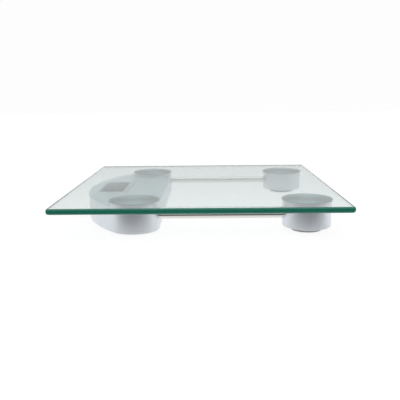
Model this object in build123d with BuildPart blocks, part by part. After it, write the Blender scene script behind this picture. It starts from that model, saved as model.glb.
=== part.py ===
"""Glass platform scale: a square glass plate on four round load-cell feet.

The two toe-end feet are moulded into one bowed display unit, which holds the display, the circuit
board and a coin cell. The two heel-end feet are separate cups. A steel tube on each side carries the
heel cells' leads to the display unit.

Millimetres. +Z is up and the floor is Z = 0. +Y points to the display end, and a user who stands on
the scale and reads the display has +X on the right. The origin is on the floor, under the middle.
"""

import os
from math import atan2, degrees

from build123d import *

# ---------------------------------------------------------------- driving dimensions
# Glass platform
PLATFORM_SIDE = 304.0
PLATFORM_T = 6.0
PLATFORM_CORNER_R = 4.2
PLATFORM_ARRIS_R = 2.4

# Where the feet stand, in from the platform's edges
FOOT_INSET = 52.0
TOE_INSET = 81.0
HEEL_INSET = 39.0
FOOT_X = PLATFORM_SIDE / 2 - FOOT_INSET
TOE_Y = PLATFORM_SIDE / 2 - TOE_INSET
HEEL_Y = HEEL_INSET - PLATFORM_SIDE / 2

# Foot casing
FOOT_R = 26.5
FOOT_TOP_Z = 27.4  # top of every foot, above the floor
UNIT_RIM_Z = 1.5  # lower rim of the display unit and its two feet
CUP_RIM_Z = 4.3  # lower rim of the heel cups, whose plungers stand further out
RIM_FILLET = 0.8
WALL = 2.0
SLEEVE_R = FOOT_R - WALL
CUP_WALL = 1.2  # the heel cups are thinner, so their discs stand past them
CUP_R = SLEEVE_R + CUP_WALL
FOOT_ROOF = 2.5

# Steel disc that is bonded under the glass, with a welded stud
DISC_OUT = 0.3  # past the foot, all round
DISC_T = 1.1
DISC_BOND = 0.1  # clear adhesive between the disc and the glass
STUD_R = 3.0
STUD_L = 7.8
NUT_ACROSS_FLATS = 10.0
NUT_H = 5.0

# Load cell and what bears on it
FLANGE_ROOM = 5.6  # sleeve to the plunger's flange
FLANGE_OUT = 1.7
PLUNGER_FLANGE_R = SLEEVE_R - FLANGE_ROOM
PLUNGER_FLANGE_T = 1.2
PLUNGER_R = PLUNGER_FLANGE_R - FLANGE_OUT
PAD_EDGE = 1.2
PAD_R = PLUNGER_R - PAD_EDGE
PAD_T = 2.0
PAD_SEAT = 1.2  # depth of the pad's recess in the plunger
PLUNGER_POST_R = 4.0
PLUNGER_TRAVEL = 0.5
PLUNGER_SPARE = 0.5  # flange to load cell, at the end of the travel
LIP_T = 1.2  # retainer lip that stops the plunger from dropping out
LIP_GAP = 0.3
SLIDE_GAP = 0.4  # round the plunger and its flange
CELL_ROOM = 7.5  # sleeve to the middle of a cell's side
CELL_SIDE = 2 * (SLEEVE_R - CELL_ROOM)
CELL_T = 1.6
CELL_CORNER_R = 4.0
CELL_SLOT_W = 1.6
CELL_TONGUE_W = 12.0
CELL_TONGUE_END = 7.0  # cell's edge to the tongue's end
CELL_TONGUE_L = CELL_SIDE - 2 * CELL_TONGUE_END
LEDGE_W = 6.0
LEDGE_BORE_R = SLEEVE_R - LEDGE_W
LEDGE_T = 2.4
RETAINER_SCREW_IN = 2.7  # sleeve to a screw's axis
RETAINER_SCREW_PITCH_R = SLEEVE_R - RETAINER_SCREW_IN
RETAINER_BOSS_R = 2.5
RETAINER_BOSS_H = 4.2
GAUGE_COVER = (9.0, 6.0, 1.2)
GAUGE_COVER_Y = (CELL_TONGUE_L - GAUGE_COVER[1]) / 2  # over the tongue's root, from the foot's centre

# Tubes between the heel feet and the display unit
TUBE_R = 4.0
TUBE_BORE_R = 3.4
TUBE_DROP = 12.5  # glass underside to tube centre
TUBE_END_INSIDE = 2.6  # tube end past a foot's inner wall
TUBE_RING_R = 5.75
TUBE_RING_T = 1.2
TUBE_RING_END = 0.5  # tube end past its ring

# Display unit
BOW_INSET = 15.0
BOW_APEX_Y = PLATFORM_SIDE / 2 - BOW_INSET
UNIT_DROP = 4.0  # glass underside to the unit's top face
UNIT_TOP_FILLET = 0.8
UNIT_ROOF = 2.2
COVER_T = 2.2

# Display
LCD_X, LCD_Y, LCD_T = 62.0, 26.0, 2.7
LCD_GAP = 0.1  # under the window
LCD_INSET = 29.0  # bow to the display's centre
LCD_CENTRE_Y = BOW_APEX_Y - LCD_INSET
WINDOW_LAP = 2.0  # window past the LCD opening, on each side
WINDOW_T = 0.8
HOLDER_LAP = 4.0
HOLDER_DEPTH = 5.2
ZEBRA_W = 2.0
ZEBRA_L = 55.6
ZEBRA_PITCH_Y = 21.2
BAR_X, BAR_Y, BAR_T = 74.0, 2.2, 0.6
BAR_PITCH = 20.0  # display's centre to the bar's
BAR_CENTRE_Y = LCD_CENTRE_Y - BAR_PITCH

# Circuit board
BOARD_X, BOARD_Y, BOARD_T = 88.0, 40.0, 1.6
BOARD_OFFSET = 1.0  # display's centre to the board's
BOARD_CENTRE_Y = LCD_CENTRE_Y - BOARD_OFFSET
BOARD_SCREW_INSET = 4.0
BOARD_BOSS_R = 2.6
CHIP = (12.0, 12.0, 1.4)
CHIP_OFFSET = (-12.0, -3.0)  # from the board's centre
CHIP_CENTRE = (CHIP_OFFSET[0], BOARD_CENTRE_Y + CHIP_OFFSET[1])
CONNECTOR = (6.0, 11.0, 4.0)
CONNECTOR_OFFSET = (38.0, -7.0)
CONNECTOR_CENTRE = (CONNECTOR_OFFSET[0], BOARD_CENTRE_Y + CONNECTOR_OFFSET[1])
CONNECTOR_PITCH = 5.0
COMPONENT = (3.2, 1.6, 1.1)
COMPONENT_PITCH = (7.0, 6.0)
COMPONENT_OFFSET = (10.0, 11.0)
COMPONENT_CENTRE = (COMPONENT_OFFSET[0], BOARD_CENTRE_Y + COMPONENT_OFFSET[1])

# Unit button, pressed from below
BUTTON_OFFSET = (24.0, -3.0)  # from the board's centre
BUTTON_CENTRE = (BUTTON_OFFSET[0], BOARD_CENTRE_Y + BUTTON_OFFSET[1])
BUTTON_R = 4.0
BUTTON_RECESS = 0.2
BUTTON_FLANGE_R = 5.4
BUTTON_FLANGE_T = 1.0
BUTTON_STEM_R = 1.8
BUTTON_TRAVEL = 0.5
BUTTON_GUIDE_T = 1.3
BUTTON_GUIDE_H = 2.1
SWITCH_SIDE = 6.2
SWITCH_H = 3.4
SWITCH_PLUNGER_R = 1.7
SWITCH_PLUNGER_OUT = 1.4
SWITCH_PLUNGER_IN = 0.8

# Coin cell bay and its bayonet door
BAY_OFFSET = 5.0  # behind the line through the toe feet
BAY_CENTRE = (0.0, TOE_Y - BAY_OFFSET)
CELL_R = 10.0
CELL_H = 3.2
CELL_LIFT = 1.9  # over the bottom cover, clear of the door's lugs
BAY_WALL = 1.7
BAY_ROOM = 0.8  # round the cell
BAY_HEADROOM = 1.6  # over the cell
BAY_ROOF = 1.2
DOOR_FLANGE_R = 14.0
DOOR_FLANGE_T = 1.2
DOOR_NECK_R = 11.6
DOOR_NECK_T = 2.0
DOOR_LUG_R = 13.2
DOOR_LUG_W = 9.0
DOOR_LUG_T = 1.0
DOOR_TURN = 60.0  # degrees from locked to free
DOOR_GAP = 0.2
DOOR_COIN_SLOT = (17.0, 2.2, 0.7)
CONTACT_T = 0.4
CONTACT_W = 5.0
CONTACT_DIMPLE_R = 2.0

# Screws, in the order head radius, head height, shank radius, shank length
COVER_SCREW = (2.7, 1.2, 1.3, 9.0)
RETAINER_SCREW = (1.8, 1.2, 1.0, 7.5)
BOARD_SCREW = (2.2, 1.3, 1.0, 5.0)
COVER_SCREW_BY_FOOT = (38.0, 17.0)  # inward and back, from a toe foot's centre
COVER_SCREW_BY_BOW = (56.0, 21.0)  # out from the middle, and back from the bow's apex
COVER_SCREW_AT_APEX = 6.0
COVER_SCREW_PLACES = [
    (COVER_SCREW_BY_FOOT[0] - FOOT_X, TOE_Y - COVER_SCREW_BY_FOOT[1]),
    (FOOT_X - COVER_SCREW_BY_FOOT[0], TOE_Y - COVER_SCREW_BY_FOOT[1]),
    (-COVER_SCREW_BY_BOW[0], BOW_APEX_Y - COVER_SCREW_BY_BOW[1]),
    (COVER_SCREW_BY_BOW[0], BOW_APEX_Y - COVER_SCREW_BY_BOW[1]),
    (0.0, BOW_APEX_Y - COVER_SCREW_AT_APEX),
]
COVER_BOSS_R = 3.2
SCREW_SOCKET = (0.45, 0.7)  # half width and depth of the drive slot

# Leads
LEAD_R = 0.9
LEAD_BEND_R = 2.6
LEAD_START = 4.0  # straight run of a lead from its gauge cover
GAUGE_END = GAUGE_COVER_Y + GAUGE_COVER[1] / 2
TOE_LEAD_Y = GAUGE_END + LEAD_START  # run through the gate, from the foot's centre
TOE_LEAD_DROP = 1.0  # below the tubes' centres
LEAD_PITCH = 8.0
HEEL_LEAD_Y = TOE_LEAD_Y - LEAD_PITCH
LEAD_GATE = (10.0, 12.4, 4.0)  # opening in a toe foot's sleeve, towards the board
LEAD_GATE_IN = 4.3
LEAD_GATE_DROP = 0.5
LEAD_CLEAR = 5.5  # last bend of a lead past the foot's sleeve
TUBE_LEAD_IN = 3.5  # last bend of a lead before its tube
TUBE_LEAD_OUT = 9.0  # first bend of a lead after its tube, back from the toe foot's centre
HEEL_LEAD_TURN = 13.0  # inward from the toe foot's centre
TOE_LEAD_TURN = 8.0
HEEL_PLUG_RUN = 9.0  # straight run into the connector
TOE_PLUG_RUN = 11.0
BATTERY_LEAD_R = 0.6
BATTERY_LEAD_X = 2.0  # the lead on each side of the bay's centre
BATTERY_LEAD_BEND_R = 1.5

# Clearances
FIT = 0.05  # round anything that is pushed or screwed into a hole
SEAT = 0.2  # round parts that drop into a recess

# ---------------------------------------------------------------- derived places
UNDERSIDE_Z = FOOT_TOP_Z + DISC_T + DISC_BOND
FOOT_ROOF_Z = FOOT_TOP_Z - FOOT_ROOF

PLUNGER_Z = PAD_T - PAD_SEAT

# Heights above a foot's rim
FLANGE_UP = LIP_T + LIP_GAP
FLANGE_TOP_UP = FLANGE_UP + PLUNGER_FLANGE_T
LOAD_CELL_UP = FLANGE_TOP_UP + PLUNGER_TRAVEL + PLUNGER_SPARE
LEDGE_UP = LOAD_CELL_UP + CELL_T

TUBE_Z = UNDERSIDE_Z - TUBE_DROP
TOE_LEAD_Z = TUBE_Z - TOE_LEAD_DROP
TUBE_END_R = SLEEVE_R - TUBE_END_INSIDE  # from a foot's centre
TUBE_START_Y = HEEL_Y + TUBE_END_R
TUBE_STOP_Y = TOE_Y - TUBE_END_R

UNIT_TOP_Z = UNDERSIDE_Z - UNIT_DROP
UNIT_ROOF_Z = UNIT_TOP_Z - UNIT_ROOF
COVER_TOP_Z = UNIT_RIM_Z + COVER_T

# The bow is the circle through the apex that touches both toe feet from outside.
BOW_RISE = BOW_APEX_Y - TOE_Y
BOW_R = (BOW_RISE**2 + FOOT_X**2 - FOOT_R**2) / (2 * (BOW_RISE - FOOT_R))
BOW_CENTRE_Y = BOW_APEX_Y - BOW_R
BOW_ANGLE = degrees(atan2(TOE_Y - BOW_CENTRE_Y, FOOT_X))

WINDOW_Z = UNIT_TOP_Z - WINDOW_T
LCD_Z = WINDOW_Z - LCD_GAP - LCD_T
BOARD_TOP_Z = UNIT_ROOF_Z - HOLDER_DEPTH
BOARD_Z = BOARD_TOP_Z - BOARD_T
BOARD_SCREW_X = BOARD_X / 2 - BOARD_SCREW_INSET
BOARD_SCREW_Y = BOARD_Y / 2 - BOARD_SCREW_INSET

BUTTON_Z = UNIT_RIM_Z + BUTTON_RECESS
BUTTON_FLANGE_Z = COVER_TOP_Z + SEAT
SWITCH_Z = BOARD_Z - SWITCH_H
SWITCH_PLUNGER_Z = SWITCH_Z - SWITCH_PLUNGER_OUT

DOOR_SEAT_Z = UNIT_RIM_Z + DOOR_FLANGE_T
DOOR_LUG_Z = COVER_TOP_Z + DOOR_GAP
LUG_ROOM_Z = DOOR_LUG_Z + DOOR_LUG_T + DOOR_GAP
LUG_ROOM_R = DOOR_LUG_R + DOOR_GAP
BAY_R = CELL_R + BAY_ROOM
BAY_OUTER_R = LUG_ROOM_R + BAY_WALL
CELL_Z = COVER_TOP_Z + CELL_LIFT
CELL_TOP_Z = CELL_Z + CELL_H
BAY_ROOF_Z = CELL_TOP_Z + BAY_HEADROOM
BATTERY_LEAD_Z = CELL_TOP_Z + BAY_HEADROOM / 2

TOES = {"toe_left": (-FOOT_X, TOE_Y), "toe_right": (FOOT_X, TOE_Y)}
HEELS = {"heel_left": (-FOOT_X, HEEL_Y), "heel_right": (FOOT_X, HEEL_Y)}
FEET = {**TOES, **HEELS}
RIMS = {**dict.fromkeys(TOES, UNIT_RIM_Z), **dict.fromkeys(HEELS, CUP_RIM_Z)}
SIDES = {"left": -1, "right": 1}

ON_BASE = (Align.CENTER, Align.CENTER, Align.MIN)
HANGING = (Align.CENTER, Align.CENTER, Align.MAX)


# ---------------------------------------------------------------- helpers
def finish(piece, name):
    """Label a finished piece and write it as its own STEP file."""
    piece.part.label = name
    export_step(piece.part, f"parts/{name}.step")


def unit_plan(inset):
    """Plan of the display unit, drawn in by inset: two foot arcs, the bow and a straight inner edge."""
    foot_r = FOOT_R - inset
    with BuildSketch() as plan:
        with BuildLine():
            CenterArc((FOOT_X, TOE_Y), foot_r, -90, 90 + BOW_ANGLE)
            CenterArc((0, BOW_CENTRE_Y), BOW_R - inset, BOW_ANGLE, 180 - 2 * BOW_ANGLE)
            CenterArc((-FOOT_X, TOE_Y), foot_r, 180 - BOW_ANGLE, 90 + BOW_ANGLE)
            Line((-FOOT_X, TOE_Y - foot_r), (FOOT_X, TOE_Y - foot_r))
        make_face()
    return plan.sketch


def ledge_plan(x, y, z, tube_side):
    """Plan of the ledge that a load cell bears on, open where the ring on the tube's end stands."""
    with BuildSketch(Plane.XY.offset(z)) as plan:
        with Locations((x, y)):
            Circle(SLEEVE_R)
            Circle(LEDGE_BORE_R, mode=Mode.SUBTRACT)
        with Locations((x, y + tube_side * SLEEVE_R)):
            Rectangle(2 * TUBE_RING_R + 1, 2 * SLEEVE_R, mode=Mode.SUBTRACT)
    return plan.sketch


def foot_socket(x, y, rim_z, tube_side):
    """Hollow a foot of the part being built, and give it its ledge, bosses and holes.

    rim_z is the height of its lower rim. tube_side is +1 where the tube leaves towards +Y, and -1
    where it leaves towards -Y.
    """
    ledge_z = rim_z + LEDGE_UP
    boss_places = [(x + side * RETAINER_SCREW_PITCH_R, y, ledge_z) for side in SIDES.values()]
    with Locations((x, y, rim_z)):
        Cylinder(SLEEVE_R, FOOT_ROOF_Z - rim_z, align=ON_BASE, mode=Mode.SUBTRACT)
    extrude(ledge_plan(x, y, ledge_z, tube_side), amount=LEDGE_T)
    with Locations(*boss_places):
        Cylinder(RETAINER_BOSS_R, RETAINER_BOSS_H, align=ON_BASE)
        Cylinder(RETAINER_SCREW[2] + FIT, RETAINER_BOSS_H, align=ON_BASE, mode=Mode.SUBTRACT)
    with Locations(Location((x, y + tube_side * (SLEEVE_R + WALL / 2), TUBE_Z), (90, 0, 0))):
        Cylinder(TUBE_R + FIT, 3 * WALL, mode=Mode.SUBTRACT)
    with Locations((x, y, FOOT_ROOF_Z)):
        Cylinder(STUD_R + SEAT, FOOT_ROOF, align=ON_BASE, mode=Mode.SUBTRACT)


def screws(places, z, size):
    """Add screws to the part being built, heads down at z and shanks up."""
    head_r, head_h, shank_r, shank_l = size
    slot_half, slot_depth = SCREW_SOCKET
    with Locations(*[(x, y, z) for x, y in places]):
        Cylinder(head_r, head_h, align=ON_BASE)
        Box(4 * head_r, 2 * slot_half, slot_depth, align=ON_BASE, mode=Mode.SUBTRACT)
    with Locations(*[(x, y, z + head_h) for x, y in places]):
        Cylinder(shank_r, shank_l, align=ON_BASE)


def lead(name, points, radius, bend_r):
    """Write one lead as a round tube along straight runs with rounded corners."""
    with BuildPart() as piece:
        with BuildLine() as route:
            FilletPolyline(*points, radius=bend_r)
        with BuildSketch(Plane(origin=route.line @ 0, z_dir=route.line % 0)):
            Circle(radius)
        sweep(path=route.wire())
    finish(piece, name)


os.makedirs("parts", exist_ok=True)

# ---------------------------------------------------------------- glass platform
with BuildPart() as glass_platform:
    with BuildSketch(Plane.XY.offset(UNDERSIDE_Z)):
        RectangleRounded(PLATFORM_SIDE, PLATFORM_SIDE, PLATFORM_CORNER_R)
    extrude(amount=PLATFORM_T)
    rims = glass_platform.edges().group_by(Axis.Z)
    fillet(rims[0] + rims[-1], PLATFORM_ARRIS_R)
finish(glass_platform, "glass_platform")

# ---------------------------------------------------------------- mounting discs and their nuts
for corner, (x, y) in FEET.items():
    with BuildPart() as mounting_disc:
        with Locations((x, y, FOOT_TOP_Z)):
            Cylinder(FOOT_R + DISC_OUT, DISC_T, align=ON_BASE)
            Cylinder(STUD_R, STUD_L, align=HANGING)
    finish(mounting_disc, f"mounting_disc_{corner}")

with BuildPart() as disc_nuts:
    with BuildSketch(Plane.XY.offset(FOOT_ROOF_Z - NUT_H)):
        with Locations(*FEET.values()):
            RegularPolygon(NUT_ACROSS_FLATS / 2, 6, major_radius=False)
            Circle(STUD_R + FIT, mode=Mode.SUBTRACT)
    extrude(amount=NUT_H)
finish(disc_nuts, "disc_nuts")

# ---------------------------------------------------------------- heel cups
for corner, (x, y) in HEELS.items():
    with BuildPart() as heel_cup:
        with Locations((x, y, CUP_RIM_Z)):
            Cylinder(CUP_R, FOOT_TOP_Z - CUP_RIM_Z, align=ON_BASE)
        fillet(heel_cup.edges().sort_by(Axis.Z)[0], RIM_FILLET)
        foot_socket(x, y, CUP_RIM_Z, tube_side=1)
    finish(heel_cup, corner.replace("heel_", "heel_cup_"))

# ---------------------------------------------------------------- load-cell stack in every foot
for corner, (x, y) in FEET.items():
    rim_z = RIMS[corner]
    with BuildPart() as foot_pad:
        with Locations((x, y, 0)):
            Cylinder(PAD_R, PAD_T, align=ON_BASE)
    finish(foot_pad, f"foot_pad_{corner}")

    with BuildPart() as foot_plunger:
        with Locations((x, y, PLUNGER_Z)):
            Cylinder(PLUNGER_R, rim_z + FLANGE_TOP_UP - PLUNGER_Z, align=ON_BASE)
            Cylinder(PAD_R, PAD_SEAT, align=ON_BASE, mode=Mode.SUBTRACT)
        with Locations((x, y, rim_z + FLANGE_UP)):
            Cylinder(PLUNGER_FLANGE_R, PLUNGER_FLANGE_T, align=ON_BASE)
        with Locations((x, y, rim_z + FLANGE_TOP_UP)):
            Cylinder(PLUNGER_POST_R, LOAD_CELL_UP - FLANGE_TOP_UP, align=ON_BASE)
    finish(foot_plunger, f"foot_plunger_{corner}")

    screw_places = [(x + side * RETAINER_SCREW_PITCH_R, y) for side in SIDES.values()]
    with BuildPart() as cell_retainer:
        with Locations((x, y, rim_z)):
            Cylinder(SLEEVE_R - SEAT, LOAD_CELL_UP, align=ON_BASE)
            Cylinder(PLUNGER_R + SLIDE_GAP, LIP_T, align=ON_BASE, mode=Mode.SUBTRACT)
        with Locations((x, y, rim_z + LIP_T)):
            flange_bore = PLUNGER_FLANGE_R + SLIDE_GAP
            Cylinder(flange_bore, LOAD_CELL_UP, align=ON_BASE, mode=Mode.SUBTRACT)
        with Locations(*[(px, py, rim_z) for px, py in screw_places]):
            Cylinder(RETAINER_SCREW[0] + SEAT, RETAINER_SCREW[1], align=ON_BASE, mode=Mode.SUBTRACT)
            Cylinder(RETAINER_SCREW[2] + FIT, LOAD_CELL_UP, align=ON_BASE, mode=Mode.SUBTRACT)
    finish(cell_retainer, f"cell_retainer_{corner}")

    with BuildPart() as load_cell:
        with BuildSketch(Plane.XY.offset(rim_z + LOAD_CELL_UP)):
            with Locations((x, y)):
                RectangleRounded(CELL_SIDE, CELL_SIDE, CELL_CORNER_R)
            # The slot runs round three sides of the tongue.
            with Locations((x, y - CELL_SLOT_W)):
                slot_w = CELL_TONGUE_W + 2 * CELL_SLOT_W
                Rectangle(slot_w, CELL_TONGUE_L, mode=Mode.SUBTRACT)
            with Locations((x, y)):
                Rectangle(CELL_TONGUE_W, CELL_TONGUE_L)
        extrude(amount=CELL_T)
    finish(load_cell, f"load_cell_{corner}")

with BuildPart() as retainer_screws:
    for corner, (x, y) in FEET.items():
        places = [(x + side * RETAINER_SCREW_PITCH_R, y) for side in SIDES.values()]
        screws(places, RIMS[corner], RETAINER_SCREW)
finish(retainer_screws, "retainer_screws")

with BuildPart() as gauge_covers:
    with Locations(*[(x, y + GAUGE_COVER_Y, RIMS[corner] + LEDGE_UP) for corner, (x, y) in FEET.items()]):
        Box(*GAUGE_COVER, align=ON_BASE)
    fillet(gauge_covers.faces().group_by(Axis.Z)[-1].edges(), GAUGE_COVER[2] / 3)
finish(gauge_covers, "gauge_covers")

# ---------------------------------------------------------------- tubes
for side, sign in SIDES.items():
    with BuildPart() as wire_tube:
        with BuildSketch(Plane.XZ.offset(-TUBE_START_Y)):
            with Locations((sign * FOOT_X, TUBE_Z)):
                Circle(TUBE_R)
                Circle(TUBE_BORE_R, mode=Mode.SUBTRACT)
        extrude(amount=-(TUBE_STOP_Y - TUBE_START_Y))
    finish(wire_tube, f"wire_tube_{side}")

with BuildPart() as tube_rings:
    ring_centre = TUBE_RING_END + TUBE_RING_T / 2
    for sign in SIDES.values():
        for y in (TUBE_START_Y + ring_centre, TUBE_STOP_Y - ring_centre):
            with Locations(Location((sign * FOOT_X, y, TUBE_Z), (90, 0, 0))):
                Cylinder(TUBE_RING_R, TUBE_RING_T)
                Cylinder(TUBE_R + FIT, TUBE_RING_T, mode=Mode.SUBTRACT)
finish(tube_rings, "tube_rings")

# ---------------------------------------------------------------- display unit
with BuildPart() as display_housing:
    with BuildSketch(Plane.XY.offset(UNIT_RIM_Z)):
        add(unit_plan(0))
    extrude(amount=UNIT_TOP_Z - UNIT_RIM_Z)
    fillet(display_housing.edges().group_by(Axis.Z)[0], RIM_FILLET)
    fillet(display_housing.edges().group_by(Axis.Z)[-1], UNIT_TOP_FILLET)
    # The two feet rise above the unit's top face, up to their discs.
    with Locations(*[(x, y, FOOT_TOP_Z) for x, y in TOES.values()]):
        Cylinder(FOOT_R, FOOT_TOP_Z - UNIT_TOP_Z + UNIT_TOP_FILLET, align=HANGING)
    # Room between the side wall and the two foot sleeves
    with BuildSketch(Plane.XY.offset(UNIT_RIM_Z)):
        add(unit_plan(WALL))
        with Locations(*TOES.values()):
            Circle(FOOT_R, mode=Mode.SUBTRACT)
    extrude(amount=UNIT_ROOF_Z - UNIT_RIM_Z, mode=Mode.SUBTRACT)
    for x, y in TOES.values():
        foot_socket(x, y, UNIT_RIM_Z, tube_side=-1)
        inward = -1 if x > 0 else 1
        gate_y = (TOE_LEAD_Y + HEEL_LEAD_Y) / 2
        with Locations((x + inward * (FOOT_R - LEAD_GATE_IN), y + gate_y, TUBE_Z - LEAD_GATE_DROP)):
            Box(*LEAD_GATE, mode=Mode.SUBTRACT)
    # Display opening, window seat and the groove for the trim bar
    with Locations((0, LCD_CENTRE_Y, UNIT_ROOF_Z)):
        Box(LCD_X, LCD_Y, UNIT_ROOF, align=ON_BASE, mode=Mode.SUBTRACT)
    with Locations((0, LCD_CENTRE_Y, UNIT_TOP_Z)):
        window_size = (LCD_X + 2 * WINDOW_LAP, LCD_Y + 2 * WINDOW_LAP, WINDOW_T)
        Box(*window_size, align=HANGING, mode=Mode.SUBTRACT)
    with Locations((0, BAR_CENTRE_Y, UNIT_TOP_Z)):
        Box(BAR_X, BAR_Y, BAR_T, align=HANGING, mode=Mode.SUBTRACT)
    # Bosses for the board and the bottom cover
    with Locations((0, BOARD_CENTRE_Y, BOARD_TOP_Z)):
        with GridLocations(2 * BOARD_SCREW_X, 2 * BOARD_SCREW_Y, 2, 2):
            Cylinder(BOARD_BOSS_R, UNIT_ROOF_Z - BOARD_TOP_Z, align=ON_BASE)
            Cylinder(BOARD_SCREW[2] + FIT, BOARD_SCREW[3], align=ON_BASE, mode=Mode.SUBTRACT)
    with Locations(*[(x, y, COVER_TOP_Z) for x, y in COVER_SCREW_PLACES]):
        Cylinder(COVER_BOSS_R, UNIT_ROOF_Z - COVER_TOP_Z, align=ON_BASE)
        Cylinder(COVER_SCREW[2] + FIT, COVER_SCREW[3] + 1, align=ON_BASE, mode=Mode.SUBTRACT)
finish(display_housing, "display_housing")

with BuildPart() as display_bottom_cover:
    with BuildSketch(Plane.XY.offset(UNIT_RIM_Z)):
        add(unit_plan(WALL + SEAT))
        with Locations(*TOES.values()):
            Circle(FOOT_R + SEAT, mode=Mode.SUBTRACT)
    extrude(amount=COVER_T)
    # Screw holes
    with Locations(*[(x, y, UNIT_RIM_Z) for x, y in COVER_SCREW_PLACES]):
        Cylinder(COVER_SCREW[0] + SEAT, COVER_SCREW[1], align=ON_BASE, mode=Mode.SUBTRACT)
        Cylinder(COVER_SCREW[2] + SEAT, COVER_T, align=ON_BASE, mode=Mode.SUBTRACT)
    # Guide collar and hole for the unit button
    with Locations((*BUTTON_CENTRE, COVER_TOP_Z)):
        guide_bore_r = BUTTON_FLANGE_R + SEAT
        Cylinder(guide_bore_r + BUTTON_GUIDE_T, BUTTON_GUIDE_H, align=ON_BASE)
        Cylinder(guide_bore_r, BUTTON_GUIDE_H, align=ON_BASE, mode=Mode.SUBTRACT)
    with Locations((*BUTTON_CENTRE, UNIT_RIM_Z)):
        Cylinder(BUTTON_R + SEAT, COVER_T, align=ON_BASE, mode=Mode.SUBTRACT)
    # Cell bay: lug room below, the cell's own room above
    with Locations((*BAY_CENTRE, COVER_TOP_Z)):
        Cylinder(BAY_OUTER_R, BAY_ROOF_Z + BAY_ROOF - COVER_TOP_Z, align=ON_BASE)
        Cylinder(LUG_ROOM_R, LUG_ROOM_Z - COVER_TOP_Z, align=ON_BASE, mode=Mode.SUBTRACT)
        Cylinder(BAY_R, BAY_ROOF_Z - COVER_TOP_Z, align=ON_BASE, mode=Mode.SUBTRACT)
    with Locations((*BAY_CENTRE, UNIT_RIM_Z)):
        Cylinder(DOOR_FLANGE_R + DOOR_GAP, DOOR_FLANGE_T, align=ON_BASE, mode=Mode.SUBTRACT)
        Cylinder(DOOR_NECK_R + DOOR_GAP, COVER_T, align=ON_BASE, mode=Mode.SUBTRACT)
    # Slots that let the door's lugs in and out
    with BuildSketch(Plane.XY.offset(UNIT_RIM_Z)):
        with Locations(BAY_CENTRE):
            Circle(LUG_ROOM_R)
            Rectangle(3 * LUG_ROOM_R, DOOR_LUG_W + 4 * DOOR_GAP, rotation=DOOR_TURN, mode=Mode.INTERSECT)
    extrude(amount=COVER_T, mode=Mode.SUBTRACT)
    # Holes for the two cell leads in the bay's side wall
    for sign in SIDES.values():
        hole_centre = (BAY_CENTRE[0] + sign * BATTERY_LEAD_X, BAY_CENTRE[1] + BAY_OUTER_R, BATTERY_LEAD_Z)
        with Locations(Location(hole_centre, (90, 0, 0))):
            Cylinder(BATTERY_LEAD_R + FIT, 3 * (BAY_OUTER_R - BAY_R), mode=Mode.SUBTRACT)
finish(display_bottom_cover, "display_bottom_cover")

with BuildPart() as cover_screws:
    screws(COVER_SCREW_PLACES, UNIT_RIM_Z, COVER_SCREW)
finish(cover_screws, "cover_screws")

with BuildPart() as trim_bar:
    with Locations((0, BAR_CENTRE_Y, UNIT_TOP_Z)):
        Box(BAR_X - FIT, BAR_Y - FIT, BAR_T, align=HANGING)
finish(trim_bar, "trim_bar")

# ---------------------------------------------------------------- display
with BuildPart() as display_window:
    with Locations((0, LCD_CENTRE_Y, UNIT_TOP_Z)):
        lap = 2 * WINDOW_LAP - FIT
        Box(LCD_X + lap, LCD_Y + lap, WINDOW_T, align=HANGING)
finish(display_window, "display_window")

with BuildPart() as lcd_panel:
    with Locations((0, LCD_CENTRE_Y, WINDOW_Z - LCD_GAP)):
        Box(LCD_X - SEAT, LCD_Y - SEAT, LCD_T, align=HANGING)
finish(lcd_panel, "lcd_panel")

with BuildPart() as lcd_holder:
    with Locations((0, LCD_CENTRE_Y, BOARD_TOP_Z)):
        Box(LCD_X + 2 * HOLDER_LAP, LCD_Y + 2 * HOLDER_LAP, HOLDER_DEPTH, align=ON_BASE)
        # Space under the middle of the display, and a slot for each connector strip
        strip_gap = ZEBRA_PITCH_Y - ZEBRA_W - 2 * WALL
        Box(ZEBRA_L, strip_gap, HOLDER_DEPTH, align=ON_BASE, mode=Mode.SUBTRACT)
        with GridLocations(0, ZEBRA_PITCH_Y, 1, 2):
            Box(ZEBRA_L + SEAT, ZEBRA_W + SEAT, HOLDER_DEPTH, align=ON_BASE, mode=Mode.SUBTRACT)
    with Locations((0, LCD_CENTRE_Y, LCD_Z)):
        Box(LCD_X, LCD_Y, LCD_T, align=ON_BASE, mode=Mode.SUBTRACT)
finish(lcd_holder, "lcd_holder")

with BuildPart() as zebra_strips:
    with Locations((0, LCD_CENTRE_Y, BOARD_TOP_Z)):
        with GridLocations(0, ZEBRA_PITCH_Y, 1, 2):
            Box(ZEBRA_L, ZEBRA_W, LCD_Z - BOARD_TOP_Z, align=ON_BASE)
finish(zebra_strips, "zebra_strips")

# ---------------------------------------------------------------- circuit board
with BuildPart() as circuit_board:
    with BuildSketch(Plane.XY.offset(BOARD_Z)):
        with Locations((0, BOARD_CENTRE_Y)):
            RectangleRounded(BOARD_X, BOARD_Y, 2)
            with GridLocations(2 * BOARD_SCREW_X, 2 * BOARD_SCREW_Y, 2, 2):
                Circle(BOARD_SCREW[2] + SEAT, mode=Mode.SUBTRACT)
    extrude(amount=BOARD_T)
finish(circuit_board, "circuit_board")

with BuildPart() as board_screws:
    offsets = [(sx * BOARD_SCREW_X, sy * BOARD_SCREW_Y) for sx in (-1, 1) for sy in (-1, 1)]
    places = [(x, BOARD_CENTRE_Y + y) for x, y in offsets]
    screws(places, BOARD_Z - BOARD_SCREW[1], BOARD_SCREW)
finish(board_screws, "board_screws")

with BuildPart() as controller_chip:
    with Locations((*CHIP_CENTRE, BOARD_Z)):
        Box(*CHIP, align=HANGING)
    fillet(controller_chip.faces().group_by(Axis.Z)[0].edges(), CHIP[2] / 3)
finish(controller_chip, "controller_chip")

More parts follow.
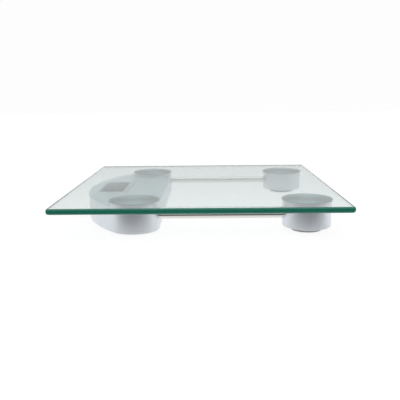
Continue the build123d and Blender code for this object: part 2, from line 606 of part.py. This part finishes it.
with BuildPart() as board_components:
    with Locations((*COMPONENT_CENTRE, BOARD_Z)):
        with GridLocations(*COMPONENT_PITCH, 4, 2):
            Box(*COMPONENT, align=HANGING)
finish(board_components, "board_components")

with BuildPart() as lead_connectors:
    with Locations(*[(sign * CONNECTOR_CENTRE[0], CONNECTOR_CENTRE[1], BOARD_Z) for sign in (-1, 1)]):
        Box(*CONNECTOR, align=HANGING)
finish(lead_connectors, "lead_connectors")

# ---------------------------------------------------------------- unit button and its switch
with BuildPart() as unit_switch:
    with Locations((*BUTTON_CENTRE, BOARD_Z)):
        Box(SWITCH_SIDE, SWITCH_SIDE, SWITCH_H, align=HANGING)
    with Locations((*BUTTON_CENTRE, SWITCH_Z)):
        well_depth = SWITCH_PLUNGER_IN + BUTTON_TRAVEL + SEAT
        Cylinder(SWITCH_PLUNGER_R + SEAT, well_depth, align=ON_BASE, mode=Mode.SUBTRACT)
finish(unit_switch, "unit_switch")

with BuildPart() as switch_plunger:
    with Locations((*BUTTON_CENTRE, SWITCH_PLUNGER_Z)):
        Cylinder(SWITCH_PLUNGER_R, SWITCH_PLUNGER_OUT + SWITCH_PLUNGER_IN, align=ON_BASE)
finish(switch_plunger, "switch_plunger")

with BuildPart() as unit_button:
    with Locations((*BUTTON_CENTRE, BUTTON_Z)):
        Cylinder(BUTTON_R, BUTTON_FLANGE_Z - BUTTON_Z, align=ON_BASE)
    fillet(unit_button.edges().sort_by(Axis.Z)[0], BUTTON_RECESS)
    with Locations((*BUTTON_CENTRE, BUTTON_FLANGE_Z)):
        Cylinder(BUTTON_FLANGE_R, BUTTON_FLANGE_T, align=ON_BASE)
        Cylinder(BUTTON_STEM_R, SWITCH_PLUNGER_Z - BUTTON_FLANGE_Z, align=ON_BASE)
finish(unit_button, "unit_button")

# ---------------------------------------------------------------- coin cell and its door
with BuildPart() as coin_cell:
    with Locations((*BAY_CENTRE, CELL_Z)):
        Cylinder(CELL_R, CELL_H, align=ON_BASE)
    fillet(coin_cell.edges(), CELL_H / 8)
finish(coin_cell, "coin_cell")

with BuildPart() as battery_door:
    with Locations((*BAY_CENTRE, UNIT_RIM_Z)):
        Cylinder(DOOR_FLANGE_R, DOOR_FLANGE_T, align=ON_BASE)
    with Locations((*BAY_CENTRE, DOOR_SEAT_Z)):
        Cylinder(DOOR_NECK_R, DOOR_LUG_Z + DOOR_LUG_T - DOOR_SEAT_Z, align=ON_BASE)
        neck_bore_h = DOOR_LUG_Z + DOOR_LUG_T - DOOR_SEAT_Z
        Cylinder(DOOR_NECK_R - DOOR_NECK_T, neck_bore_h, align=ON_BASE, mode=Mode.SUBTRACT)
    # A bar across the neck, whose two ends are the lugs
    with BuildSketch(Plane.XY.offset(DOOR_LUG_Z)):
        with Locations(BAY_CENTRE):
            Circle(DOOR_LUG_R)
            Rectangle(3 * DOOR_LUG_R, DOOR_LUG_W, mode=Mode.INTERSECT)
    extrude(amount=DOOR_LUG_T)
    with Locations((*BAY_CENTRE, UNIT_RIM_Z)):
        Box(*DOOR_COIN_SLOT, align=ON_BASE, mode=Mode.SUBTRACT)
finish(battery_door, "battery_door")

# The side contact is bent to the cell's rim, and the top contact's dimple bears on its face.
with BuildPart() as battery_side_contact:
    with BuildSketch(Plane.XY.offset(CELL_Z)):
        with Locations(BAY_CENTRE):
            Circle(CELL_R + FIT + CONTACT_T)
            Circle(CELL_R + FIT, mode=Mode.SUBTRACT)
        with Locations((BAY_CENTRE[0] + BATTERY_LEAD_X, BAY_CENTRE[1] + CELL_R)):
            Rectangle(CONTACT_W, CELL_R, mode=Mode.INTERSECT)
    extrude(amount=BAY_ROOF_Z - CELL_Z)
finish(battery_side_contact, "battery_side_contact")

with BuildPart() as battery_top_contact:
    with Locations((*BAY_CENTRE, BAY_ROOF_Z)):
        Box(CONTACT_W, 1.6 * CELL_R, CONTACT_T, align=HANGING)
    with Locations((*BAY_CENTRE, CELL_TOP_Z)):
        Cylinder(CONTACT_DIMPLE_R, BAY_HEADROOM - CONTACT_T, align=ON_BASE)
finish(battery_top_contact, "battery_top_contact")

# ---------------------------------------------------------------- leads
# Each load cell's lead starts at its gauge cover. A heel lead runs through its tube and then across
# the toe foot. All four leave through the gates in the toe sleeves, for the board's connectors.
gauge_lead_up = LEDGE_UP + LEAD_R + 3 * FIT
plug_x = CONNECTOR_CENTRE[0] + CONNECTOR[0] / 2
plug_z = BOARD_Z - CONNECTOR[2] / 2
for side, sign in SIDES.items():
    heel_plug_y = CONNECTOR_CENTRE[1] - CONNECTOR_PITCH / 2
    lead(
        f"cell_lead_heel_{side}",
        [
            (sign * FOOT_X, HEEL_Y + GAUGE_END, CUP_RIM_Z + gauge_lead_up),
            (sign * FOOT_X, HEEL_Y + GAUGE_END + LEAD_START, CUP_RIM_Z + gauge_lead_up),
            (sign * FOOT_X, TUBE_START_Y - TUBE_LEAD_IN, TUBE_Z),
            (sign * FOOT_X, TOE_Y - TUBE_LEAD_OUT, TUBE_Z),
            (sign * (FOOT_X - HEEL_LEAD_TURN), TOE_Y + HEEL_LEAD_Y, TUBE_Z),
            (sign * (FOOT_X - FOOT_R - LEAD_CLEAR), TOE_Y + HEEL_LEAD_Y, TUBE_Z),
            (sign * (plug_x + HEEL_PLUG_RUN), heel_plug_y, plug_z),
            (sign * plug_x, heel_plug_y, plug_z),
        ],
        LEAD_R,
        LEAD_BEND_R,
    )
    toe_plug_y = CONNECTOR_CENTRE[1] + CONNECTOR_PITCH / 2
    lead(
        f"cell_lead_toe_{side}",
        [
            (sign * FOOT_X, TOE_Y + GAUGE_END, UNIT_RIM_Z + gauge_lead_up),
            (sign * FOOT_X, TOE_Y + TOE_LEAD_Y, UNIT_RIM_Z + gauge_lead_up),
            (sign * (FOOT_X - TOE_LEAD_TURN), TOE_Y + TOE_LEAD_Y, TOE_LEAD_Z),
            (sign * (FOOT_X - FOOT_R - LEAD_CLEAR), TOE_Y + TOE_LEAD_Y, TOE_LEAD_Z),
            (sign * (plug_x + TOE_PLUG_RUN), toe_plug_y, plug_z),
            (sign * plug_x, toe_plug_y, plug_z),
        ],
        LEAD_R,
        LEAD_BEND_R,
    )

battery_lead_starts = {
    "top": (BAY_CENTRE[0] - BATTERY_LEAD_X, BAY_CENTRE[1] + 0.8 * CELL_R),
    "side": (BAY_CENTRE[0] + BATTERY_LEAD_X, BAY_CENTRE[1] + CELL_R + CONTACT_T + FIT),
}
for contact, (x, y) in battery_lead_starts.items():
    board_y = BOARD_CENTRE_Y - BOARD_Y / 2 + 2
    lead(
        f"battery_lead_{contact}",
        [(x, y, BATTERY_LEAD_Z), (x, board_y, BATTERY_LEAD_Z), (x, board_y, BOARD_Z)],
        BATTERY_LEAD_R,
        BATTERY_LEAD_BEND_R,
    )
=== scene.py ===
# %% [markdown]
# # A glass platform scale
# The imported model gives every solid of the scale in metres, each in its place. This lesson dresses
# it: glass that refracts, discs with a turned finish, a satin casing, and the small parts inside.
# The frame comes first, because every finish takes its place from it.

# %% Load the frame
from math import radians, tau

import bmesh
import bpy
from mathutils import Matrix, Vector


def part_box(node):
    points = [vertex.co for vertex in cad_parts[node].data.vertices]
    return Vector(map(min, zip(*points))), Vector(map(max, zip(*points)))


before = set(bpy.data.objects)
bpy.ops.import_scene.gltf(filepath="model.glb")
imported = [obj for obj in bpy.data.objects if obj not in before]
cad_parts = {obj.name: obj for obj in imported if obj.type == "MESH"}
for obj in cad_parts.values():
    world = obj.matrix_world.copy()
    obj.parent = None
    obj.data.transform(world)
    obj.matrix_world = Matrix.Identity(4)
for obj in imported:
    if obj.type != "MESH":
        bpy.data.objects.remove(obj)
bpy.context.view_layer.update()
CORNERS = ("toe_left", "toe_right", "heel_left", "heel_right")

# %% [markdown]
# ## The camera
# A side of the plate faces the camera, which stands low and near, so that the far side looks much
# shorter than the near one. A place, a target and a small roll about the line of sight are enough
# for that, and they read more easily than three angles would.

# %% Place the camera
CAMERA_PLACE = Vector((-0.6579, -0.0077, 0.1468))
CAMERA_TARGET = Vector((0.0, 0.0022, 0.0118))
CAMERA_ROLL = radians(-0.61)
CAMERA_LENS = 48.09  # millimetres, on a sensor 36 mm wide

lens = bpy.data.cameras.new("camera")
lens.lens = CAMERA_LENS
lens.sensor_width = 36
lens.clip_start = 0.01
camera = bpy.data.objects.new("camera", lens)
bpy.context.scene.collection.objects.link(camera)
sight = (CAMERA_TARGET - CAMERA_PLACE).to_track_quat("-Z", "Y").to_matrix().to_4x4()
camera.matrix_world = Matrix.Translation(CAMERA_PLACE) @ sight @ Matrix.Rotation(CAMERA_ROLL, 4, "Z")
bpy.context.scene.camera = camera
bpy.context.scene.view_settings.view_transform = "Standard"
print("camera", tuple(round(v, 3) for v in CAMERA_PLACE), "lens", CAMERA_LENS)

# %% [markdown]
# ## Writing shaders as sums
# A shader is a graph, but most of it is plain maths. Wiring each Math node by hand hides the sum
# that it does. The class below wraps a socket instead, so that `1 - mask * 0.5` adds its own Math
# nodes, and the line reads as the sum.


# %% A socket that does maths
class Signal:
    """A shader socket that adds a Math node for each operator it meets."""

    def __init__(self, finish, socket):
        self.finish = finish
        self.socket = socket

    def maths(self, operation, *others):
        sockets = dict(enumerate((self, *others)))
        return self.finish.node("ShaderNodeMath", {"operation": operation}, sockets)

    def __add__(self, other):
        return self.maths("ADD", other)

    __radd__ = __add__

    def __sub__(self, other):
        return self.maths("SUBTRACT", other)

    def __rsub__(self, other):
        return self * -1 + other

    def __mul__(self, other):
        return self.maths("MULTIPLY", other)

    __rmul__ = __mul__

    def __truediv__(self, other):
        return self.maths("DIVIDE", other)

    def __rtruediv__(self, other):
        return self ** -1 * other

    def __pow__(self, other):
        return self.maths("POWER", other)

    def __lt__(self, other):
        return self.maths("LESS_THAN", other)

    def __abs__(self):
        return self.maths("ABSOLUTE")


print("a Signal adds, subtracts, multiplies, divides, compares and takes powers")

# %% [markdown]
# ## One way to add a node
# Every other node comes from one method. It takes the node's type, the settings that have to be made
# first, and the values or links of its sockets. The small methods after it name the few things that
# nearly every finish needs: a place on the piece, a noise, a blend and a bump.


# %% A finish under construction
class Finish:
    """One material, or a world, and the ways to add nodes to it."""

    def __init__(self, name, tree=None):
        self.name = name
        if tree is None:
            self.material = bpy.data.materials.new(name)
            self.material.use_nodes = True
            tree = self.material.node_tree
        self.tree = tree
        self.tree.nodes.clear()

    def node(self, kind, settings=None, sockets=None, out=0):
        """Add a node, make its settings, then fill its sockets with values or links."""
        made = self.tree.nodes.new(kind)
        for key, value in (settings or {}).items():
            if key == "stops":
                ramp = made.color_ramp
                while len(ramp.elements) < len(value):
                    ramp.elements.new(1.0)
                for element, (place, colour) in zip(ramp.elements, value):
                    element.position = place
                    element.color = (*colour, 1)
            else:
                setattr(made, key, value)
        for key, value in (sockets or {}).items():
            self.fill(made.inputs[key], value)
        return Signal(self, made.outputs[out]) if made.outputs else None

    def fill(self, socket, value):
        if isinstance(value, Signal):
            self.tree.links.new(value.socket, socket)
        elif socket.type == "RGBA" and len(value) == 3:
            socket.default_value = (*value, 1)
        else:
            socket.default_value = value

    def place(self, centre=(0, 0, 0), scale=(1, 1, 1)):
        """Object coordinates, measured from a centre and stretched."""
        coords = self.node("ShaderNodeTexCoord", out="Object")
        offset = [-v * s for v, s in zip(centre, scale)]
        return self.node(
            "ShaderNodeMapping", {}, {"Vector": coords, "Location": offset, "Scale": scale}
        )

    def axes(self, vector):
        """The x, y and z parts of a vector."""
        return [self.node("ShaderNodeSeparateXYZ", {}, {"Vector": vector}, out=i) for i in range(3)]

    def noise(self, vector, scale, detail=2.0):
        return self.node(
            "ShaderNodeTexNoise", {}, {"Vector": vector, "Scale": scale, "Detail": detail}
        )

    def blend(self, factor, first, second):
        """A colour between two colours."""
        return self.node("ShaderNodeMix", {"data_type": "RGBA"}, {0: factor, 6: first, 7: second}, 2)

    def ease(self, signal, start, end, low=0.0, high=1.0):
        """Take a signal from its own range to another, and hold it inside that."""
        ends = {"From Min": start, "From Max": end, "To Min": low, "To Max": high}
        return self.node("ShaderNodeMapRange", {}, {"Value": signal, **ends})

    def bump(self, height, strength, depth):
        return self.node(
            "ShaderNodeBump", {}, {"Height": height, "Strength": strength, "Distance": depth}
        )

    def principled(self, sockets):
        return self.node("ShaderNodeBsdfPrincipled", {}, sockets)

    def mix(self, factor, first, second):
        """A shader between two shaders."""
        return self.node("ShaderNodeMixShader", {}, {0: factor, 1: first, 2: second})

    def done(self, shader):
        self.node("ShaderNodeOutputMaterial", {}, {"Surface": shader})
        print("finish", self.name, "from", len(self.tree.nodes), "nodes")
        return self.material


def dress(slot, material):
    """Give a finish to every node that the record lists under that slot."""
    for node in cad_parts.values():
        if node.data.materials[0].name == slot:
            node.data.materials[0] = material


# %% [markdown]
# ## The studio
# The scale stands on white paper under soft light. The light is strongest overhead, fair behind and
# weak on the camera's side, and that falling off is what models the round walls: they are grey where
# they face the camera and light where they turn away. A world whose strength follows the direction
# does this with no lamp. Rays from the camera see plain white instead.

# %% The surround
WHITE = (1.0, 1.0, 1.0)
BACKDROP = 0.985  # strength that the camera sees, just under white
LIGHT_NEAR = 0.08  # from the camera's side
LIGHT_FAR = 0.52  # from behind the scale
LIGHT_ABOVE = 1.5  # added overhead
LIGHT_SKEW = 0.1  # how far the light leans to one end of the scale
SKYLINE = 0.02  # below this height, rays through the glass see the backdrop


def surround():
    world = bpy.data.worlds.new("surround")
    bpy.context.scene.world = world
    world.use_nodes = True
    f = Finish("surround", world.node_tree)
    along, across, up = f.axes(f.node("ShaderNodeTexCoord", out="Generated"))
    round_about = f.ease(along - across * LIGHT_SKEW, -1.0, 1.0, LIGHT_NEAR, LIGHT_FAR)
    level = round_about + up * up * LIGHT_ABOVE
    camera_ray = f.node("ShaderNodeLightPath", out="Is Camera Ray")
    through = f.node("ShaderNodeLightPath", out="Is Transmission Ray")
    seen = camera_ray.maths("MAXIMUM", through * (up < SKYLINE))
    lit = f.node("ShaderNodeBackground", {}, {"Color": WHITE, "Strength": level})
    shown = f.node("ShaderNodeBackground", {}, {"Color": WHITE, "Strength": BACKDROP})
    f.node("ShaderNodeOutputWorld", {}, {"Surface": f.mix(seen, lit, shown)})
    print("light from", LIGHT_NEAR, "to", LIGHT_FAR, "and overhead", LIGHT_ABOVE)


surround()

# %% [markdown]
# ## The floor
# One large sheet stands for the paper. Most of what the camera gets from it is plain white, so that
# it runs into the backdrop, and the rest is a matt surface that takes the scale's soft shadow. What
# the walls mirror of it gets weaker towards the camera, as the light does.

# %% The floor
FLOOR_SIDE = 6.0
FLOOR_DROP = 0.0005  # below the pads
SHADOW_SHARE = 0.1  # how much of the floor is the matt surface, to the camera
PAPER_WHITE = 1.02
PAPER_THROUGH_GLASS = 0.1  # added for rays that come through the glass
MIRRORED_FROM, MIRRORED_TO = (-0.24, 0.06), (-0.1, 1.1)  # place along the scale, and strength there

floor_mesh = bpy.data.meshes.new("floor")
shape = bmesh.new()
bmesh.ops.create_grid(shape, x_segments=1, y_segments=1, size=FLOOR_SIDE / 2)
shape.to_mesh(floor_mesh)
shape.free()
floor = bpy.data.objects.new("floor", floor_mesh)
floor.location.z = -FLOOR_DROP
bpy.context.scene.collection.objects.link(floor)


def floor_paper():
    f = Finish("paper")
    camera_ray = f.node("ShaderNodeLightPath", out="Is Camera Ray")
    through = f.node("ShaderNodeLightPath", out="Is Transmission Ray")
    mirrored = f.node("ShaderNodeLightPath", out="Is Glossy Ray")
    matt = f.node("ShaderNodeBsdfDiffuse", {}, {"Color": (0.9, 0.9, 0.9)})
    brightness = PAPER_WHITE + through * PAPER_THROUGH_GLASS
    white = f.node("ShaderNodeEmission", {}, {"Color": WHITE, "Strength": brightness})
    places, levels = zip(MIRRORED_FROM, MIRRORED_TO)
    level = f.ease(f.axes(f.place())[0], *places, *levels)
    falling = f.node("ShaderNodeEmission", {}, {"Color": WHITE, "Strength": level})
    shown = f.mix(camera_ray.maths("MAXIMUM", through) * (1 - SHADOW_SHARE), matt, white)
    return f.done(f.mix(mirrored, shown, falling))


floor.data.materials.append(floor_paper())

# %% [markdown]
# ## The glass plate
# Clear float glass looks faintly green through its faces and dark green at its ground edge, where
# light has come a long way through it. Absorption in the volume would give both, but it is slow and
# noisy for a plate this thin. Here the flat faces refract and carry a light tint, and the rounded
# edge has a glossy green finish of its own, chosen by how far the surface leans. Its green is
# painted
# in bands up its height: painted light makes it lighter near its foot, a painted highlight runs
# along its top arris, and it is darker green between. Light on its way to the pieces below passes
# as through a clear sheet, so the plate casts hardly any shadow.

# %% Plate glass
FACE_TINT = (0.9, 0.985, 0.975)  # at each crossing of a face
EDGE_LEAN = (0.985, 0.95)  # upward part of the normal where a face turns into the edge


def plate_glass():
    f = Finish("plate_glass")
    low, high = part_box("glass_platform")
    here = f.place((0, 0, low.z))
    height = f.axes(here)[2] / (high.z - low.z)
    upward = abs(f.axes(f.node("ShaderNodeNewGeometry", out="Normal"))[2])
    edge = f.ease(upward, EDGE_LEAN[0], EDGE_LEAN[1])
    streaks = f.noise(f.place(scale=(60, 60, 900)), 1.0, 2)
    # painted light: the edge colour is lighter near its foot and painted lighter along its top
    # arris, darker green between
    edge_painted_light = f.node(
        "ShaderNodeValToRGB",
        {
            "stops": [
                (0.0, (0.06, 0.21, 0.165)),
                (0.16, (0.05, 0.2, 0.155)),
                (0.3, (0.014, 0.155, 0.103)),
                (0.75, (0.012, 0.15, 0.1)),
                (1.0, (0.03, 0.215, 0.155)),
            ]
        },
        {"Fac": height + (streaks - 0.5) * 0.12},
    )
    ground = f.principled(
        {
            "Base Color": edge_painted_light,
            "Roughness": f.ease(streaks, 0, 1, 0.1, 0.25),
            "Specular IOR Level": 0.25,
        }
    )
    clear = f.principled(
        {"Base Color": FACE_TINT, "Roughness": 0.0, "IOR": 1.52, "Transmission Weight": 1.0}
    )
    passing = f.node("ShaderNodeBsdfTransparent", {}, {"Color": FACE_TINT})
    face = f.mix(f.node("ShaderNodeLightPath", out="Is Shadow Ray"), clear, passing)
    return f.done(f.mix(edge, face, ground))


dress("platform_glass", plate_glass())

# %% [markdown]
# ## The window over the display
# A thin acrylic sheet lies flush in the casing. It needs no edge of its own, because the casing
# hides it, so it is the same idea with one shader less. It bends light less than real acrylic does,
# which keeps its shine from washing out the display.


# %% Window acrylic
def window_acrylic():
    f = Finish("window_acrylic")
    wear = f.noise(f.place(), 900, 3)
    clear = f.principled(
        {
            "Base Color": (0.97, 0.98, 0.98),
            "Roughness": 0.02,
            "IOR": 1.1,
            "Transmission Weight": 1.0,
            "Normal": f.bump(wear, 0.02, 0.00001),
        }
    )
    passing = f.node("ShaderNodeBsdfTransparent", {}, {"Color": (0.97, 0.98, 0.98)})
    return f.done(f.mix(f.node("ShaderNodeLightPath", out="Is Shadow Ray"), clear, passing))


dress("window_acrylic", window_acrylic())

# %% [markdown]
# ## Turned discs
# The steel discs under the glass are turned on a lathe, and their fine rings gather the light into
# pale and dark cones that meet at the centre. Anisotropy gives those cones. Each disc is a piece of
# its own, and the shader's own tangent runs round its centre, so nothing has to be wired to it. A
# quarter turn spreads the shine across the rings and not along them. The rings themselves are a
# noise along the radius, which makes them uneven, as a tool's marks are.


# %% Turned steel
def turned_steel(corner):
    f = Finish("turned_" + corner)
    low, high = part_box("mounting_disc_" + corner)
    centre = ((low.x + high.x) / 2, (low.y + high.y) / 2, 0)
    x, y, z = f.axes(f.place(centre))
    radius = (x * x + y * y) ** 0.5
    ring = f.node(
        "ShaderNodeTexNoise",
        {"noise_dimensions": "1D"},
        {"W": radius, "Scale": 2200, "Detail": 3},
    )
    return f.done(
        f.principled(
            {
                "Base Color": f.blend(ring, (0.17, 0.24, 0.25), (0.37, 0.46, 0.48)),
                "Metallic": 1.0,
                "Roughness": f.ease(ring, 0.2, 0.8, 0.36, 0.5),
                "Anisotropic": 0.95,
                "Anisotropic Rotation": 0.25,
                "Normal": f.bump(ring, 0.08, 0.00002),
            }
        )
    )


for corner in CORNERS:
    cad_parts["mounting_disc_" + corner].data.materials[0] = turned_steel(corner)

# %% [markdown]
# ## The casing
# The display unit and the two heel cups are moulded plastic with a satin silver paint. It mirrors
# its surroundings softly, so it has a metallic share and a middling roughness. The paint's flakes
# are a very fine noise in the colour and the bump, and a slow noise keeps large faces from looking
# flat.


# %% Satin paint
def satin_paint():
    f = Finish("satin_paint")
    here = f.place()
    slow = f.noise(here, 30, 3)
    flakes = f.noise(here, 7000, 2)
    lit = f.blend(slow, (0.66, 0.69, 0.74), (0.7, 0.73, 0.78))
    return f.done(
        f.principled(
            {
                "Base Color": f.blend(f.ease(flakes, 0.45, 0.8), lit, (0.76, 0.78, 0.82)),
                "Metallic": 0.8,
                "Roughness": f.ease(flakes, 0, 1, 0.27, 0.37),
                "Normal": f.bump(flakes, 0.06, 0.00002),
            }
        )
    )


dress("casing_plastic", satin_paint())

# %% [markdown]
# ## Plain mouldings and rubbers
# The other moulded parts share one recipe: two close colours, a grain that fits the part's size,
# and a roughness. One helper makes them all, so that the numbers stay next to each other.


# %% Moulded parts
def moulded(name, colour, second, roughness, grain=5000, relief=0.08):
    """A moulding with a fine grain and a slow change of colour."""
    f = Finish(name)
    here = f.place()
    slow = f.noise(here, 60, 3)
    fine = f.noise(here, grain, 2)
    return f.done(
        f.principled(
            {
                "Base Color": f.blend(slow, colour, second),
                "Roughness": f.ease(fine, 0, 1, roughness - 0.08, roughness + 0.08),
                "Normal": f.bump(fine, relief, 0.00004),
            }
        )
    )


dress("inner_plastic", moulded("inner_white", (0.88, 0.88, 0.87), (0.83, 0.83, 0.82), 0.5))
dress("trim_grey", moulded("trim", (0.36, 0.4, 0.43), (0.4, 0.44, 0.46), 0.35))
dress("connector_nylon", moulded("nylon", (0.7, 0.68, 0.6), (0.75, 0.73, 0.66), 0.45))
dress("gauge_silicone", moulded("silicone", (0.75, 0.75, 0.72), (0.68, 0.68, 0.66), 0.4))
dress("strip_rubber", moulded("strip", (0.32, 0.14, 0.16), (0.28, 0.12, 0.13), 0.6))
dress("chip_epoxy", moulded("epoxy", (0.012, 0.012, 0.013), (0.02, 0.02, 0.02), 0.3, 1500, 0.3))
dress("component_ceramic", moulded("ceramic", (0.3, 0.2, 0.12), (0.4, 0.27, 0.17), 0.35))
dress("lead_pvc", moulded("lead", (0.55, 0.55, 0.54), (0.48, 0.48, 0.47), 0.4))

# %% [markdown]
# ## The foot pads
# Each pad is soft, pale rubber with shallow rings moulded in its sole, to keep the scale from
# sliding. The rings are a sine of the radius in the bump. All four pads have the same slot in the
# record, but each has its own centre, so each gets its own finish.

# %% Ringed rubber
PAD_RING_STEP = 0.002  # from one ring to the next


def ringed_rubber(corner):
    f = Finish("pad_" + corner)
    low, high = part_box("foot_pad_" + corner)
    here = f.place(((low.x + high.x) / 2, (low.y + high.y) / 2, 0))
    x, y, z = f.axes(here)
    rings = ((x * x + y * y) ** 0.5 * (tau / PAD_RING_STEP)).maths("SINE")
    dust = f.noise(here, 350, 4)
    return f.done(
        f.principled(
            {
                "Base Color": f.blend(
                    f.ease(dust, 0.45, 0.75), (0.85, 0.85, 0.84), (0.74, 0.74, 0.72)
                ),
                "Roughness": f.ease(dust, 0, 1, 0.55, 0.8),
                "Normal": f.bump(rings, 0.5, 0.0003),
            }
        )
    )


for corner in CORNERS:
    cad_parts["foot_pad_" + corner].data.materials[0] = ringed_rubber(corner)

# %% [markdown]
# ## Drawn and pressed metals
# Tubes, cell plates, screws, battery and contacts are all bare metal. What tells them apart is the
# direction of their grain and how sharply they mirror. Stretching the coordinates along one axis
# draws the grain out, as rolling and drawing do.


# %% Bare metals
def metal(name, colour, second, roughness, stretch=(1, 1, 1), grain=1500):
    """A metal whose grain may be drawn out along an axis."""
    f = Finish(name)
    marks = f.noise(f.place(scale=stretch), grain, 3)
    return f.done(
        f.principled(
            {
                "Base Color": f.blend(marks, colour, second),
                "Metallic": 1.0,
                "Roughness": f.ease(marks, 0, 1, roughness * 0.75, roughness * 1.3),
                "Normal": f.bump(marks, 0.05, 0.00002),
            }
        )
    )


dress("tube_chrome", metal("chrome", (0.68, 0.67, 0.65), (0.74, 0.73, 0.71), 0.1, (1, 0.02, 1)))
dress("cell_steel", metal("cell_steel", (0.5, 0.5, 0.49), (0.6, 0.6, 0.58), 0.32, (1, 0.05, 1)))
dress("screw_steel", metal("screws", (0.5, 0.5, 0.48), (0.6, 0.6, 0.57), 0.25))
dress("coin_cell_steel", metal("coin_cell", (0.62, 0.62, 0.6), (0.7, 0.7, 0.68), 0.22))
dress("contact_nickel", metal("nickel", (0.62, 0.58, 0.5), (0.7, 0.65, 0.56), 0.25))

# %% [markdown]
# ## The display and its board
# Switched off, the liquid crystal panel is an even grey with a green cast. Its finish is matt,
# because the plate and the window above it already give all the shine that reaches the eye. The
# circuit board under it is finished like a plain moulding, in a green lacquer.


# %% Panel and board
def panel(name, colour, second):
    f = Finish(name)
    slow = f.noise(f.place(), 60, 2)
    return f.done(
        f.principled(
            {
                "Base Color": f.blend(slow, colour, second),
                "Roughness": 0.6,
                "Specular IOR Level": 0.1,
            }
        )
    )


dress("lcd_glass", panel("panel_grey", (0.025, 0.034, 0.032), (0.03, 0.04, 0.037)))
dress("board_laminate", moulded("laminate", (0.02, 0.12, 0.05), (0.03, 0.16, 0.07), 0.35))
